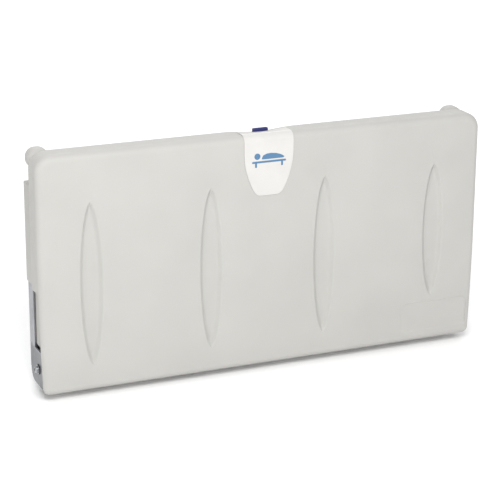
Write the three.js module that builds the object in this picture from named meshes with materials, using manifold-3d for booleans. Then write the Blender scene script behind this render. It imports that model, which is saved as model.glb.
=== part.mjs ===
// Wall-mounted, fold-down baby changing station, bed closed.
// Units are millimetres, +Z is up, +X is to the right and +Y points into the wall.
// The wall plane is Y = 0 and the height origin is the middle of the bed.
import * as THREE from "three";
import { mergeVertices } from "three/addons/utils/BufferGeometryUtils.js";
import Module from "manifold-3d";

const wasm = await Module();
wasm.setup();

// ---- driving dimensions -------------------------------------------------
const W = 889; // bed width
const H = 452; // bed height when closed
const D = 100; // depth from the wall to the closed front
const T = 50; // bed thickness
const GAP = 0.3; // gap between resting pieces
const R_TOP = 30; // top corners of the bed outline
const R_BOT = 13; // bottom corners of the bed outline
const R_EDGE = 12.5; // rounding between front face and sides
const WALL = 4; // bed shell wall
const LENS_X = [-346, -114, 116, 348]; // almond recesses, centre lines
const LENS_W = 46.5;
const LENS_TOP = 362;
const LENS_BOT = [49, 49, 49, 93];
const LENS_DEEP = 5.5;
const LIP = 10; // front lip that stays full width beside the hinge
const RECESS_Z = 195; // top of the side recess of the bed
const RECESS_X = 428.2; // half width of the bed in the recess
const POCKET_Z = 78; // top of the hinge pocket
const POCKET_X = 416; // half width of the bed in the hinge pocket
const PIVOT_Y = 50; // pivot, behind the front face
const PIVOT_Z = 37; // pivot, above the bottom edge
const LOBE_R = 37; // round end of the side bracket
const PLATE_X = 433; // inner face of the side bracket
const PLATE_T = 3;
const ARM_X = 428.5; // inner face of the hinge arm
const ARM_T = 3;
const HOUSE_X = 438.5; // half width of the wall housing
const HOUSE_Y = T + 2.3; // front of the wall housing
const LOWER_X = 430.9; // half width of the housing beside the hinge
const HOUSE_BOT = 76;
const HOUSE_TOP = 430;
const HOOK_LEDGE = 384.5; // shoulder under the bag hook
const HOOK_TOP = 451;
const HOOK_IN = 399; // inner wall of the bag hook
const STUD_X = 203.2; // half of a 16 in stud spacing

// ---- helpers --------------------------------------------------------------
const rotX = (g, a) => g.rotateX(a);
function solid(geometry) {
  const g = geometry.clone();
  g.deleteAttribute("normal");
  g.deleteAttribute("uv");
  const m = mergeVertices(g, 1e-4);
  const index = m.index.array;
  return new wasm.Manifold(
    new wasm.Mesh({
      numProp: 3,
      vertProperties: new Float32Array(m.attributes.position.array),
      triVerts: new Uint32Array(index),
    }),
  );
}
function geometryOf(s) {
  const mesh = s.getMesh();
  const g = new THREE.BufferGeometry();
  const n = mesh.numProp;
  const pos = new Float32Array((mesh.vertProperties.length / n) * 3);
  for (let i = 0; i < pos.length / 3; i++)
    for (let k = 0; k < 3; k++) pos[3 * i + k] = mesh.vertProperties[n * i + k];
  g.setAttribute("position", new THREE.BufferAttribute(pos, 3));
  g.setIndex(new THREE.BufferAttribute(new Uint32Array(mesh.triVerts), 1));
  g.computeVertexNormals();
  return g;
}
// box from lowest to highest corner
function box(x0, x1, y0, y1, z0, z1) {
  const g = new THREE.BoxGeometry(x1 - x0, y1 - y0, z1 - z0);
  g.translate((x0 + x1) / 2, (y0 + y1) / 2, (z0 + z1) / 2);
  return solid(g);
}
// cylinder along X, Y or Z
function cyl(axis, r, a0, a1, u, v, seg = 16, r2 = r) {
  const g = new THREE.CylinderGeometry(r2, r, a1 - a0, seg);
  if (axis === "x") {
    g.rotateZ(-Math.PI / 2);
    g.translate((a0 + a1) / 2, u, v);
  } else if (axis === "y") {
    g.translate(u, (a0 + a1) / 2, v);
  } else {
    g.rotateX(Math.PI / 2);
    g.translate(u, v, (a0 + a1) / 2);
  }
  return solid(g);
}
// rounded rectangle in X and Z; radii are top and bottom
function rounded(x0, x1, z0, z1, rt, rb, seg) {
  const s = new THREE.Shape();
  const arc = (cx, cz, r, a0, a1) => {
    for (let i = 0; i <= seg; i++) {
      const a = a0 + ((a1 - a0) * i) / seg;
      const p = [cx + r * Math.cos(a), cz + r * Math.sin(a)];
      if (!s.curves.length && !s._began) {
        s.moveTo(...p);
        s._began = true;
      } else s.lineTo(...p);
    }
  };
  const q = Math.PI / 2;
  arc(x1 - rb, z0 + rb, rb, -q, 0);
  arc(x1 - rt, z1 - rt, rt, 0, q);
  arc(x0 + rt, z1 - rt, rt, q, 2 * q);
  arc(x0 + rb, z0 + rb, rb, 2 * q, 3 * q);
  s.closePath();
  return s;
}
function polygon(points) {
  const s = new THREE.Shape();
  points.forEach((p, i) => (i ? s.lineTo(...p) : s.moveTo(...p)));
  s.closePath();
  return s;
}
// extrude a shape drawn in X and Z from y0 to y1; bevel rounds both ends
function slab(shape, y0, y1, bevel = 0, size = bevel, seg = 2) {
  const depth = y1 - y0 - 2 * bevel;
  const g = new THREE.ExtrudeGeometry(shape, {
    depth,
    curveSegments: 6,
    steps: 1,
    bevelEnabled: bevel > 0,
    bevelThickness: bevel,
    bevelSize: size,
    bevelOffset: -size,
    bevelSegments: seg,
  });
  rotX(g, Math.PI / 2); // depth now runs along -Y
  g.translate(0, y1 - bevel, 0);
  return solid(g);
}
// extrude a shape drawn in Y and Z along X
function side(shape, x0, x1) {
  const g = new THREE.ExtrudeGeometry(shape, {
    depth: x1 - x0,
    steps: 1,
    bevelEnabled: false,
  });
  // (u, v, w) -> (w, u, v)
  g.applyMatrix4(
    new THREE.Matrix4().set(0, 0, 1, x0, 1, 0, 0, 0, 0, 1, 0, 0, 0, 0, 0, 1),
  );
  return solid(g);
}
// turned piece: profile of [radius, distance along axis]
function turned(profile, seg = 16) {
  const g = new THREE.LatheGeometry(
    profile.map(([r, a]) => new THREE.Vector2(r, a)),
    seg,
  );
  return g;
}
function mirrorX(s) {
  return s.mirror([1, 0, 0]);
}

// ---- group ----------------------------------------------------------------
// The inner group measures Y from the closed front face and Z from the bottom
// edge of the bed; its position puts the wall plane at Y = 0.
const table = new THREE.Group();
const inner = new THREE.Group();
inner.position.set(0, -D, -H / 2);
table.add(inner);

const finish = {
  shell: () => new THREE.MeshStandardMaterial({ color: 0xdddcd7, roughness: 0.55 }),
  white: () => new THREE.MeshStandardMaterial({ color: 0xf4f3f0, roughness: 0.35 }),
  navy: () => new THREE.MeshStandardMaterial({ color: 0x2d3a78, roughness: 0.45 }),
  steel: () =>
    new THREE.MeshStandardMaterial({ color: 0xb4b7bb, roughness: 0.4, metalness: 0.9 }),
  dark: () =>
    new THREE.MeshStandardMaterial({ color: 0x3a3c40, roughness: 0.5, metalness: 0.6 }),
  webbing: () => new THREE.MeshStandardMaterial({ color: 0x2b2d33, roughness: 0.9 }),
  rubber: () => new THREE.MeshStandardMaterial({ color: 0x2a2a2c, roughness: 0.95 }),
};
function add(name, s, material) {
  const mesh = new THREE.Mesh(s.isBufferGeometry ? s : geometryOf(s), material());
  mesh.name = name;
  inner.add(mesh);
  return mesh;
}

// ---- bed: outer shell -------------------------------------------------------
function lens(x, z0, z1, w, y0, y1, seg = 14) {
  const half = (z1 - z0) / 2;
  const cz = (z0 + z1) / 2;
  const right = [];
  for (let i = 0; i <= seg; i++) {
    const t = -Math.cos((Math.PI * i) / seg);
    right.push([(w / 2) * Math.pow(Math.max(0, 1 - t * t), 0.54), cz + half * t]);
  }
  const pts = right.map(([a, z]) => [x + a, z]);
  for (let i = seg - 1; i > 0; i--) pts.push([x - right[i][0], right[i][1]]);
  return slab(polygon(pts), y0, y1);
}
function scoop(depth, halfWidth, y0, y1) {
  const pts = [[halfWidth, H + 4]];
  const n = 8;
  for (let i = 0; i <= n; i++) {
    const x = halfWidth - (2 * halfWidth * i) / n;
    pts.push([x, H - (depth * (1 + Math.cos((Math.PI * x) / halfWidth))) / 2 + 0.001]);
  }
  pts.push([-halfWidth, H + 4]);
  return slab(polygon(pts), y0, y1);
}
const bedShell = (() => {
  let s = slab(rounded(-W / 2, W / 2, 0, H, R_TOP, R_BOT, 5), 0, T + 20, R_EDGE, R_EDGE, 3);
  s = s.intersect(box(-W, W, -1, T, -1, H + 1));
  for (const k of [-1, 1]) {
    const side0 = k > 0 ? RECESS_X : -W;
    const side1 = k > 0 ? W : -RECESS_X;
    s = s.subtract(box(side0, side1, LIP, T + 1, -1, RECESS_Z));
    const p0 = k > 0 ? POCKET_X : -W;
    const p1 = k > 0 ? W : -POCKET_X;
    s = s.subtract(box(p0, p1, LIP, T + 1, -1, POCKET_Z));
  }
  const floor = LENS_DEEP + WALL;
  let cave = slab(
    rounded(-W / 2 + WALL, W / 2 - WALL, RECESS_Z + WALL, H - WALL, R_TOP - WALL, 2, 5),
    floor,
    T + 1,
  );
  cave = cave.add(
    box(-RECESS_X + WALL, RECESS_X - WALL, floor, T + 1, POCKET_Z + WALL, RECESS_Z + WALL + 1),
  );
  cave = cave.add(
    box(-POCKET_X + WALL, POCKET_X - WALL, floor, T + 1, WALL, POCKET_Z + WALL + 1),
  );
  cave = cave.subtract(box(-82, 82, 0, T + 2, 442, H));
  s = s.subtract(cave);
  LENS_X.forEach((x, i) => {
    s = s.subtract(lens(x, LENS_BOT[i], LENS_TOP, LENS_W, -1, LENS_DEEP));
  });
  s = s.subtract(scoop(4.5, 70, 14, T + 1));
  s = s.subtract(box(-15.9, 15.9, 37.9, 46.3, 430, H + 2)); // latch slot
  for (const k of [-1, 1])
    for (const z of [104, 160])
      s = s.subtract(cyl("x", 2.9, ...(k > 0 ? [420, 430] : [-430, -420]), 32, z, 10));
  return s;
})();
add("bed_shell", bedShell, finish.shell);

// ---- bed: inner tray with the changing surface ------------------------------
const DISH_X = 394;
const DISH_Z0 = 50;
const DISH_Z1 = 402;
const DISH_FLOOR = 20;
const DISH_WALL = 3;
const bedTray = (() => {
  const rim = 46.5;
  const edge = WALL + GAP;
  let s = slab(
    rounded(-W / 2 + edge, W / 2 - edge, RECESS_Z + edge, H - edge, R_TOP - edge, 2, 5),
    rim,
    T,
  );
  s = s.subtract(box(-82.3, 82.3, rim - 1, T + 1, 442 - GAP, H));
  s = s.add(
    box(
      -RECESS_X + WALL + GAP,
      RECESS_X - WALL - GAP,
      rim,
      T,
      POCKET_Z + WALL + GAP,
      RECESS_Z + WALL + GAP + 1,
    ),
  );
  s = s.add(
    box(
      -POCKET_X + WALL + GAP,
      POCKET_X - WALL - GAP,
      rim,
      T,
      WALL + GAP,
      POCKET_Z + WALL + GAP + 1,
    ),
  );
  const dish = (grow, y0, y1) =>
    slab(
      rounded(-DISH_X - grow, DISH_X + grow, DISH_Z0 - grow, DISH_Z1 + grow, 60, 60, 5),
      y0,
      y1,
      24,
      36,
      4,
    ).intersect(box(-W, W, -1, T + 1, -1, H));
  s = s.add(dish(DISH_WALL, DISH_FLOOR - DISH_WALL, 96).intersect(box(-W, W, 0, T, 0, H)));
  s = s.subtract(dish(0, DISH_FLOOR, 99));
  s = s.subtract(box(-8, 8, rim - 1, T + 1, 406.5, 431)); // latch nose slot
  return s;
})();
add("bed_tray", bedTray, finish.shell);

// ---- bed: badge plate wraps over the top edge ---------------------------------
const badge = (() => {
  const t0 = 0.3;
  const t1 = 1.5;
  const arc = (r, a0, a1, n) => {
    const out = [];
    for (let i = 0; i <= n; i++) {
      const a = a0 + ((a1 - a0) * i) / n;
      out.push([R_EDGE + r * Math.cos(a), H - R_EDGE + r * Math.sin(a)]);
    }
    return out;
  };
  const section = [
    [-t1, 337],
    ...arc(R_EDGE + t1, Math.PI, Math.PI / 2, 4),
    [13.6, H + t1],
    [13.6, H + t0],
    ...arc(R_EDGE + t0, Math.PI / 2, Math.PI, 4),
    [-t0, 337],
  ].map(([y, z]) => [y, z]);
  const strip = side(polygon(section.reverse()), -49, 49);
  const outline = polygon([
    [49, H + 5],
    [-49, H + 5],
    [-49, 400],
    [-46, 375],
    [-38, 352],
    [-27, 341],
    [-12, 337.4],
    [0, 337],
    [12, 337.4],
    [27, 341],
    [38, 352],
    [46, 375],
    [49, 400],
  ]);
  return strip.intersect(slab(outline, -5, 30));
})();
add("badge_plate", badge, finish.white);

// ---- latch ----------------------------------------------------------------------
add(
  "latch_tab",
  (() => {
    let s = box(-15.5, 15.5, 38.3, 45.9, 442.4, 455);
    s = s.subtract(box(-20, 20, 43.6, 48, 453.4, 456));
    s = s.add(box(-12, 12, 38.3, 44, 414, 443)); // stem
    s = s.add(box(-12, 12, 20, 40, 433.7, 438)); // spring shelf
    s = s.add(box(-6, 6, 43, 59.5, 417, 421)); // nose
    s = s.add(box(-6, 6, 56, 59.5, 417, 425.8)); // tooth behind the strike
    return s;
  })(),
  finish.navy,
);
add(
  "latch_guide",
  box(-15.2, 15.2, 12, 45.9, 405.9, 408.7)
    .add(box(-15.2, -12.4, 12, 45.9, 406, 437))
    .add(box(12.4, 15.2, 12, 45.9, 406, 437))
    .add(box(-15.2, 15.2, 12, 14, 406, 437)),
  finish.white,
);
add(
  "latch_spring",
  (() => {
    class Coil extends THREE.Curve {
      getPoint(t) {
        const a = t * Math.PI * 2 * 4;
        return new THREE.Vector3(
          6 * Math.cos(a),
          27 + 6 * Math.sin(a),
          410.3 + t * 22.0,
        );
      }
    }
    const ring = new THREE.Shape();
    for (let i = 0; i < 5; i++) {
      const a = (i * 2 * Math.PI) / 5;
      if (i) ring.lineTo(0.7 * Math.cos(a), 0.7 * Math.sin(a));
      else ring.moveTo(0.7, 0);
    }
    ring.closePath();
    return solid(
      new THREE.ExtrudeGeometry(ring, {
        steps: 40,
        bevelEnabled: false,
        extrudePath: new Coil(),
      }),
    );
  })(),
  finish.steel,
);
add(
  "strike_plate",
  box(-26, 26, HOUSE_Y + 1.3, HOUSE_Y + 3.3, 396, 429).subtract(
    box(-9, 9, HOUSE_Y, HOUSE_Y + 5, 408.5, 423.5),
  ),
  finish.steel,
);

// ---- hinge arms, bolts, bushes ------------------------------------------------
const GAS_B = [74, 17]; // rod pin, beside the right hinge arm
const GAS_A = [82, 243]; // cylinder stud, on the right side bracket
const GAS_X = 414;
function hingeArm(lug) {
  const pts = [];
  const arc = (cy, cz, r, a0, a1, n) => {
    for (let i = 0; i <= n; i++) {
      const a = a0 + ((a1 - a0) * i) / n;
      pts.push([cy + r * Math.cos(a), cz + r * Math.sin(a)]);
    }
  };
  const q = Math.PI / 2;
  pts.push([18, 178], [18, 24]);
  arc(30, 24, 12, 2 * q, 3 * q, 3);
  if (lug) {
    arc(...GAS_B, 8, -q * 1.25, q * 0.55, 8);
    arc(PIVOT_Y, PIVOT_Z, 14, q * 0.3, q, 4);
  } else arc(PIVOT_Y, PIVOT_Z, 14, -q * 0.8, q, 6);
  pts.push([46, 60], [46, 170], [38, 178]);
  let s = side(polygon(pts), ARM_X, ARM_X + ARM_T);
  s = s.subtract(cyl("x", 5.4, ARM_X - 1, ARM_X + ARM_T + 1, PIVOT_Y, PIVOT_Z, 20));
  for (const z of [104, 160])
    s = s.subtract(cyl("x", 2.9, ARM_X - 1, ARM_X + ARM_T + 1, 32, z, 10));
  return s;
}
add(
  "hinge_arm_right",
  hingeArm(true).subtract(
    cyl("x", 3.2, ARM_X - 1, ARM_X + ARM_T + 1, ...GAS_B, 12),
  ),
  finish.steel,
);
add("hinge_arm_left", mirrorX(hingeArm(false)), finish.steel);

function xPiece(profile, seg, y, z, flip) {
  const g = turned(profile, seg);
  g.rotateZ(-Math.PI / 2); // axis along +X
  if (flip) g.rotateY(Math.PI);
  g.translate(0, y, z);
  let s = solid(g);
  if (s.volume() < 0) {
    const i = g.index.array;
    for (let k = 0; k < i.length; k += 3) [i[k + 1], i[k + 2]] = [i[k + 2], i[k + 1]];
    s = solid(g);
  }
  return s;
}
const boltProfile = [
  [0, 419],
  [5, 419],
  [5, PLATE_X + PLATE_T + 1.3],
  [9, PLATE_X + PLATE_T + 1.3],
  [9, 438.2],
  [7, 438.2],
  [7, 441.2],
  [5.4, 443.2],
  [2.4, 444],
  [0, 444],
];
const nutProfile = [
  [6.15, 420.6],
  [9.4, 420.6],
  [9.4, 428.2],
  [6.15, 428.2],
  [6.15, 420.6],
];
const washerProfile = [
  [5.4, 431.8],
  [11, 431.8],
  [11, 432.7],
  [5.4, 432.7],
  [5.4, 431.8],
];
const bushProfile = [
  [5.3, 433.0],
  [7, 433.0],
  [7, 436.3],
  [10, 436.3],
  [10, 437.0],
  [5.3, 437.0],
  [5.3, 433.0],
];
for (const [tag, flip] of [
  ["right", false],
  ["left", true],
]) {
  add("pivot_bolt_" + tag, xPiece(boltProfile, 20, PIVOT_Y, PIVOT_Z, flip), finish.steel);
  add("pivot_nut_" + tag, xPiece(nutProfile, 6, PIVOT_Y, PIVOT_Z, flip), finish.steel);
  add("pivot_washer_" + tag, xPiece(washerProfile, 20, PIVOT_Y, PIVOT_Z, flip), finish.white);
  add("pivot_bush_" + tag, xPiece(bushProfile, 20, PIVOT_Y, PIVOT_Z, flip), finish.dark);
}
const armScrew = [
  [0, 417],
  [2.5, 417],
  [2.5, 431.8],
  [5, 431.8],
  [5, 432.9],
  [3.4, 434],
  [0, 434],
];
let screwNo = 1;
for (const flip of [false, true])
  for (const z of [104, 160])
    add("arm_screw_" + screwNo++, xPiece(armScrew, 10, 32, z, flip), finish.steel);

// ---- bed stiffener --------------------------------------------------------------
add(
  "bed_stiffener",
  box(-POCKET_X + WALL + GAP, POCKET_X - WALL - GAP, 12, 36, 8, 32).subtract(
    box(-W, W, 14, 34, 10, 30),
  ),
  finish.steel,
);

// ---- wall side: steel chassis -----------------------------------------------------
const WP0 = 97.5; // front face of the wall plate
add(
  "wall_plate",
  (() => {
    let s = slab(rounded(-436, 436, 6, 378, 4, 22, 3), WP0, D);
    for (const x of [-STUD_X, 0, STUD_X])
      for (const z of [140, 360]) s = s.subtract(cyl("y", 4.2, WP0 - 1, D + 1, x, z, 10));
    return s;
  })(),
  finish.steel,
);
function sideBracket() {
  const pts = [];
  const arc = (cy, cz, r, a0, a1, n) => {
    for (let i = 0; i <= n; i++) {
      const a = a0 + ((a1 - a0) * i) / n;
      pts.push([cy + r * Math.cos(a), cz + r * Math.sin(a)]);
    }
  };
  const q = Math.PI / 2;
  pts.push([97.2, 374], [70, 374], [70, 74]);
  arc(PIVOT_Y - LOBE_R + 20, 54, 20, q, 2 * q, 6);
  arc(PIVOT_Y, PIVOT_Z, LOBE_R, 2 * q, 2 * q + 1.101, 8);
  arc(75.2, 26, 22, -q, 0, 8);
  let s = side(polygon(pts), PLATE_X, PLATE_X + PLATE_T);
  s = s.add(box(406, PLATE_X + 1, 94.2, 97.2, 30, 374));
  s = s.subtract(cyl("x", 7.3, PLATE_X - 1, PLATE_X + PLATE_T + 1, PIVOT_Y, PIVOT_Z, 20));
  for (const z of [60, 350]) s = s.subtract(cyl("y", 3.4, 93, 99, 418, z, 10));
  return s;
}
add(
  "side_bracket_right",
  sideBracket().subtract(cyl("x", 3.2, PLATE_X - 1, PLATE_X + PLATE_T + 1, ...GAS_A, 12)),
  finish.steel,
);
add("side_bracket_left", mirrorX(sideBracket()), finish.steel);
screwNo = 1;
for (const x of [-418, 418])
  for (const z of [60, 350]) {
    // hexagon-headed screw through the bracket flange
    add(
      "bracket_bolt_" + screwNo++,
      cyl("y", 5.2, 90.4, 93.9, x, z, 6).add(cyl("y", 3, 93, 97.2, x, z, 10)),
      finish.steel,
    );
  }
add(
  "tie_rail",
  box(-405, 405, 91, 94, 70, 100)
    .add(box(-405, 405, 84, 94, 98, 100))
    .add(box(-405, 405, 84, 94, 70, 72)),
  finish.steel,
);
screwNo = 1;
for (const x of [-STUD_X, 0, STUD_X])
  for (const z of [140, 360])
    add(
      "wall_screw_" + screwNo++,
      cyl("y", 7.5, 93.2, 97.2, x, z, 6).add(cyl("y", 3.6, 95, 99.9, x, z, 10)),
      finish.steel,
    );

// ---- wall side: moulded housing ----------------------------------------------------
// basin of the housing, behind the changing surface; grow offsets the outline
const BASIN_X = 365;
const BASIN_Z0 = 112;
const BASIN_Z1 = 388;
const BASIN_FLOOR = 83;
const basinOutline = (grow, seg = 4) =>
  rounded(
    -BASIN_X - grow,
    BASIN_X + grow,
    BASIN_Z0 - grow,
    BASIN_Z1 + grow,
    40 + grow,
    40 + grow,
    seg,
  );
const basin = (grow, y1) => slab(basinOutline(grow), HOUSE_Y - 40, y1, 14, 12, 3);
add(
  "back_shell",
  (() => {
    const outline = polygon([
      [-LOWER_X, HOUSE_BOT],
      [LOWER_X, HOUSE_BOT],
      [LOWER_X, RECESS_Z],
      [HOUSE_X, RECESS_Z],
      [HOUSE_X, HOOK_LEDGE],
      [HOOK_IN - 0.3, HOOK_LEDGE],
      [HOOK_IN - 0.3, HOUSE_TOP],
      [-HOOK_IN + 0.3, HOUSE_TOP],
      [-HOOK_IN + 0.3, HOOK_LEDGE],
      [-HOUSE_X, HOOK_LEDGE],
      [-HOUSE_X, RECESS_Z],
      [-LOWER_X, RECESS_Z],
    ]);
    let s = slab(outline, HOUSE_Y, D + 6, 4, 4, 2).intersect(
      box(-W, W, 0, D - 0.1, 0, H),
    );
    let cave = box(-436.3, 436.3, HOUSE_Y + 4, D + 1, RECESS_Z - 3, HOOK_LEDGE - 3);
    cave = cave.add(box(-LOWER_X + 3, LOWER_X - 3, HOUSE_Y + 4, D + 1, 60, RECESS_Z + 3));
    cave = cave.add(box(-HOOK_IN + 3.3, HOOK_IN - 3.3, HOUSE_Y + 4, D + 1, 300, HOUSE_TOP - 3));
    s = s.subtract(cave);
    s = s.subtract(slab(basinOutline(3 + GAP), HOUSE_Y - 1, HOUSE_Y + 6));
    // the lower side walls stop in front of the bracket flanges
    for (const k of [-1, 1])
      s = s.subtract(box(...(k > 0 ? [LOWER_X - 4, 434] : [-434, -LOWER_X + 4]), 93.9, D + 1, 60, RECESS_Z - 2));
    // recess and window for the strike plate
    s = s.subtract(box(-26.3, 26.3, HOUSE_Y - 1, HOUSE_Y + 3.6, 395.7, 431));
    s = s.subtract(box(-10, 10, HOUSE_Y - 1, HOUSE_Y + 12, 405, 427.4));
    return s;
  })(),
  finish.shell,
);
add(
  "back_basin",
  basin(3, BASIN_FLOOR + 3)
    .intersect(box(-W, W, HOUSE_Y, D, 0, H))
    .subtract(basin(0, BASIN_FLOOR)),
  finish.shell,
);
function bagHook() {
  const neck = box(HOOK_IN, 426, 60, 97.2, HOOK_LEDGE + GAP, 425);
  const head = slab(rounded(HOOK_IN, 439.5, 412, HOOK_TOP, 18, 12, 5), 53, 98, 9, 9, 2);
  return neck.add(head);
}
add("bag_hook_right", bagHook(), finish.shell);
add("bag_hook_left", mirrorX(bagHook()), finish.shell);

// ---- liner dispenser cover -----------------------------------------------------------
add(
  "liner_cover",
  (() => {
    let s = slab(rounded(-150, 150, 170, 320, 14, 14, 4), 58, 82.6 + 10, 6, 6, 2).intersect(
      box(-W, W, 0, 82.6, 0, H),
    );
    s = s.subtract(slab(rounded(-147, 147, 173, 317, 11, 11, 3), 61, 84));
    s = s.subtract(slab(rounded(-80, 80, 225, 265, 19.9, 19.9, 6), 50, 64));
    s = s.add(cyl("y", 5, 60, 82.6, -130, 245, 10)).add(cyl("y", 5, 60, 82.6, 130, 245, 10));
    for (const x of [-130, 130]) s = s.subtract(cyl("y", 2.8, 50, 84, x, 245, 10));
    return s;
  })(),
  finish.shell,
);
screwNo = 1;
for (const x of [-130, 130])
  add(
    "liner_screw_" + screwNo++,
    cyl("y", 4.2, 56.2, 57.7, x, 245, 10).add(cyl("y", 2.4, 57, 81.5, x, 245, 10)),
    finish.steel,
  );

// ---- safety belt -----------------------------------------------------------------------
for (const [tag, z] of [
  ["upper", 350],
  ["lower", 102],
])
  add(
    "strap_anchor_" + tag,
    box(-27, 27, 20.3, 23.3, z - 9, z + 9).add(box(-27, 27, 23, 27.6, z - 2, z + 2)),
    finish.dark,
  );
add("strap_lower", box(-19, 19, 24, 26, 112, 190), finish.webbing);
add("strap_upper", box(-19, 19, 24, 26, 262, 340), finish.webbing);
add(
  "buckle_socket",
  box(-22, 22, 20.8, 32.8, 190.4, 232).subtract(box(-16, 16, 23, 30.4, 205, 233)),
  finish.dark,
);
add(
  "buckle_plug",
  box(-22, 22, 20.8, 32.8, 232.4, 261.6).add(box(-15.5, 15.5, 23.5, 29.9, 206, 233)),
  finish.dark,
);

// ---- rubber stops between bed and housing -------------------------------------------------
for (const [tag, x] of [
  ["left", -385],
  ["right", 385],
])
  add("bumper_" + tag, cyl("y", 7, T + GAP, HOUSE_Y - GAP, x, 418, 12), finish.rubber);

// ---- gas spring, at rest between its two studs ------------------------------------------------
const gasDir = new THREE.Vector2(GAS_B[0] - GAS_A[0], GAS_B[1] - GAS_A[1]);
const gasLen = gasDir.length();
const gasAngle = Math.atan2(gasDir.x, gasDir.y); // turn of +Z towards +Y
function alongGas(profile, seg) {
  const g = turned(profile, seg); // axis +Y, distance from stud A
  g.rotateX(Math.PI / 2); // axis +Z
  g.rotateX(-gasAngle);
  g.translate(GAS_X, ...GAS_A);
  let s = solid(g);
  if (s.volume() < 0) {
    const i = g.index.array;
    for (let k = 0; k < i.length; k += 3) [i[k + 1], i[k + 2]] = [i[k + 2], i[k + 1]];
    s = solid(g);
  }
  return s;
}
add(
  "gas_cylinder",
  alongGas(
    [
      [0, 7],
      [6, 7],
      [9, 11],
      [9, 148],
      [7.5, 150],
      [4.4, 150],
      [4.4, 40],
      [0, 40],
    ],
    16,
  )
    .add(cyl("x", 8, GAS_X - 4, GAS_X + 4, ...GAS_A, 14))
    .subtract(cyl("x", 4.4, GAS_X - 6, GAS_X + 6, ...GAS_A, 14)),
  finish.dark,
);
add(
  "gas_rod",
  alongGas(
    [
      [0, 88],
      [4, 88],
      [4, gasLen - 7],
      [0, gasLen - 7],
    ],
    12,
  )
    .add(cyl("x", 8.4, GAS_X - 4, GAS_X + 4, ...GAS_B, 14))
    .subtract(cyl("x", 4.4, GAS_X - 6, GAS_X + 6, ...GAS_B, 16)),
  finish.steel,
);
add(
  "gas_anchor_stud",
  cyl("x", 4, 406.5, 432.6, ...GAS_A, 12)
    .add(cyl("x", 2.9, 432, 436, ...GAS_A, 12))
    .add(cyl("x", 6.5, 406.5, 408.5, ...GAS_A, 12)),
  finish.steel,
);
// the rod's pin ends just short of the hinge arm, where the linkage is open
add(
  "gas_rod_pin",
  cyl("x", 4, 406.5, 428.2, ...GAS_B, 12).add(cyl("x", 6.5, 406.5, 408.5, ...GAS_B, 12)),
  finish.steel,
);
add(
  "gas_pin_rivet",
  cyl("x", 2.9, 428.5, 432, ...GAS_B, 12).add(cyl("x", 5, 431.8, 432.9, ...GAS_B, 12)),
  finish.steel,
);

export default table;
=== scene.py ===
# Looks of a wall-mounted, fold-down baby changing station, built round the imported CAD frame.
import math

import bmesh
import bpy
from mathutils import Matrix, Vector
from mathutils.geometry import delaunay_2d_cdt


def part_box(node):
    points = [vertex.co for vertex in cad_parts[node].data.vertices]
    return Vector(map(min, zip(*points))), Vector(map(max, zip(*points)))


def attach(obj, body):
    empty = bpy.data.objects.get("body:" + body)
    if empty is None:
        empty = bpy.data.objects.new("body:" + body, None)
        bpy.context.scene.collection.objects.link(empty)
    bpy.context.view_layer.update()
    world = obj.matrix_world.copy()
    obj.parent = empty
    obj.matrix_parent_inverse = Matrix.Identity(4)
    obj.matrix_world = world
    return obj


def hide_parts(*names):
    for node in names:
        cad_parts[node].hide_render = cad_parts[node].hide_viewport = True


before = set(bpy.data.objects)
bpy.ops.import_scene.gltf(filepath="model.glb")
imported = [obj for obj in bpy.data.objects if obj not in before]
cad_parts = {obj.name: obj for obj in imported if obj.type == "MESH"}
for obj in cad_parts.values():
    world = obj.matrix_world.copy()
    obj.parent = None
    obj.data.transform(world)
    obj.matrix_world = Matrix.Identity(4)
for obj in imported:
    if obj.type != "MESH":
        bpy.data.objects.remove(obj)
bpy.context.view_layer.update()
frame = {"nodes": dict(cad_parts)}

# ---------------------------------------------------------------- frame of work
# The bed's own frame: x to the right, y back from the closed front face and z up
# from the bottom edge, all in millimetres.
_lo, _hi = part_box("bed_shell")
BASE_Y, BASE_Z = _lo.y, _lo.z
W = (_hi.x - _lo.x) * 1000
H = (_hi.z - _lo.z) * 1000
T = (_hi.y - _lo.y) * 1000
PI = math.pi


def P(x, y, z):
    return Vector((x / 1000, BASE_Y + y / 1000, BASE_Z + z / 1000))


def local_box(node):
    a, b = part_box(node)
    return (
        (a.x * 1000, (a.y - BASE_Y) * 1000, (a.z - BASE_Z) * 1000),
        (b.x * 1000, (b.y - BASE_Y) * 1000, (b.z - BASE_Z) * 1000),
    )


# ---------------------------------------------------------------- mesh helpers
def new_obj(name, verts, faces, mm=True):
    me = bpy.data.meshes.new(name)
    me.from_pydata([P(*v) if mm else Vector(v) for v in verts], [], faces)
    ob = bpy.data.objects.new(name, me)
    bpy.context.scene.collection.objects.link(ob)
    return ob


def tidy(ob, dist=2e-6, angle=None, flat=False):
    bm = bmesh.new()
    bm.from_mesh(ob.data)
    bmesh.ops.remove_doubles(bm, verts=bm.verts, dist=dist)
    bmesh.ops.dissolve_degenerate(bm, dist=1e-7, edges=bm.edges)
    bmesh.ops.recalc_face_normals(bm, faces=bm.faces)
    bm.to_mesh(ob.data)
    bm.free()
    smooth(ob, angle, flat)
    return ob


def smooth(ob, angle=35, flat=False):
    """Smooth shading with sharp edges above the angle."""
    angle = 35 if angle is None else angle
    me = ob.data
    bm = bmesh.new()
    bm.from_mesh(me)
    for f in bm.faces:
        f.smooth = not flat
    lim = math.radians(angle)
    for e in bm.edges:
        if len(e.link_faces) == 2:
            e.smooth = e.calc_face_angle(0.0) < lim
        else:
            e.smooth = False
    bm.to_mesh(me)
    bm.free()
    me.update()


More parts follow.
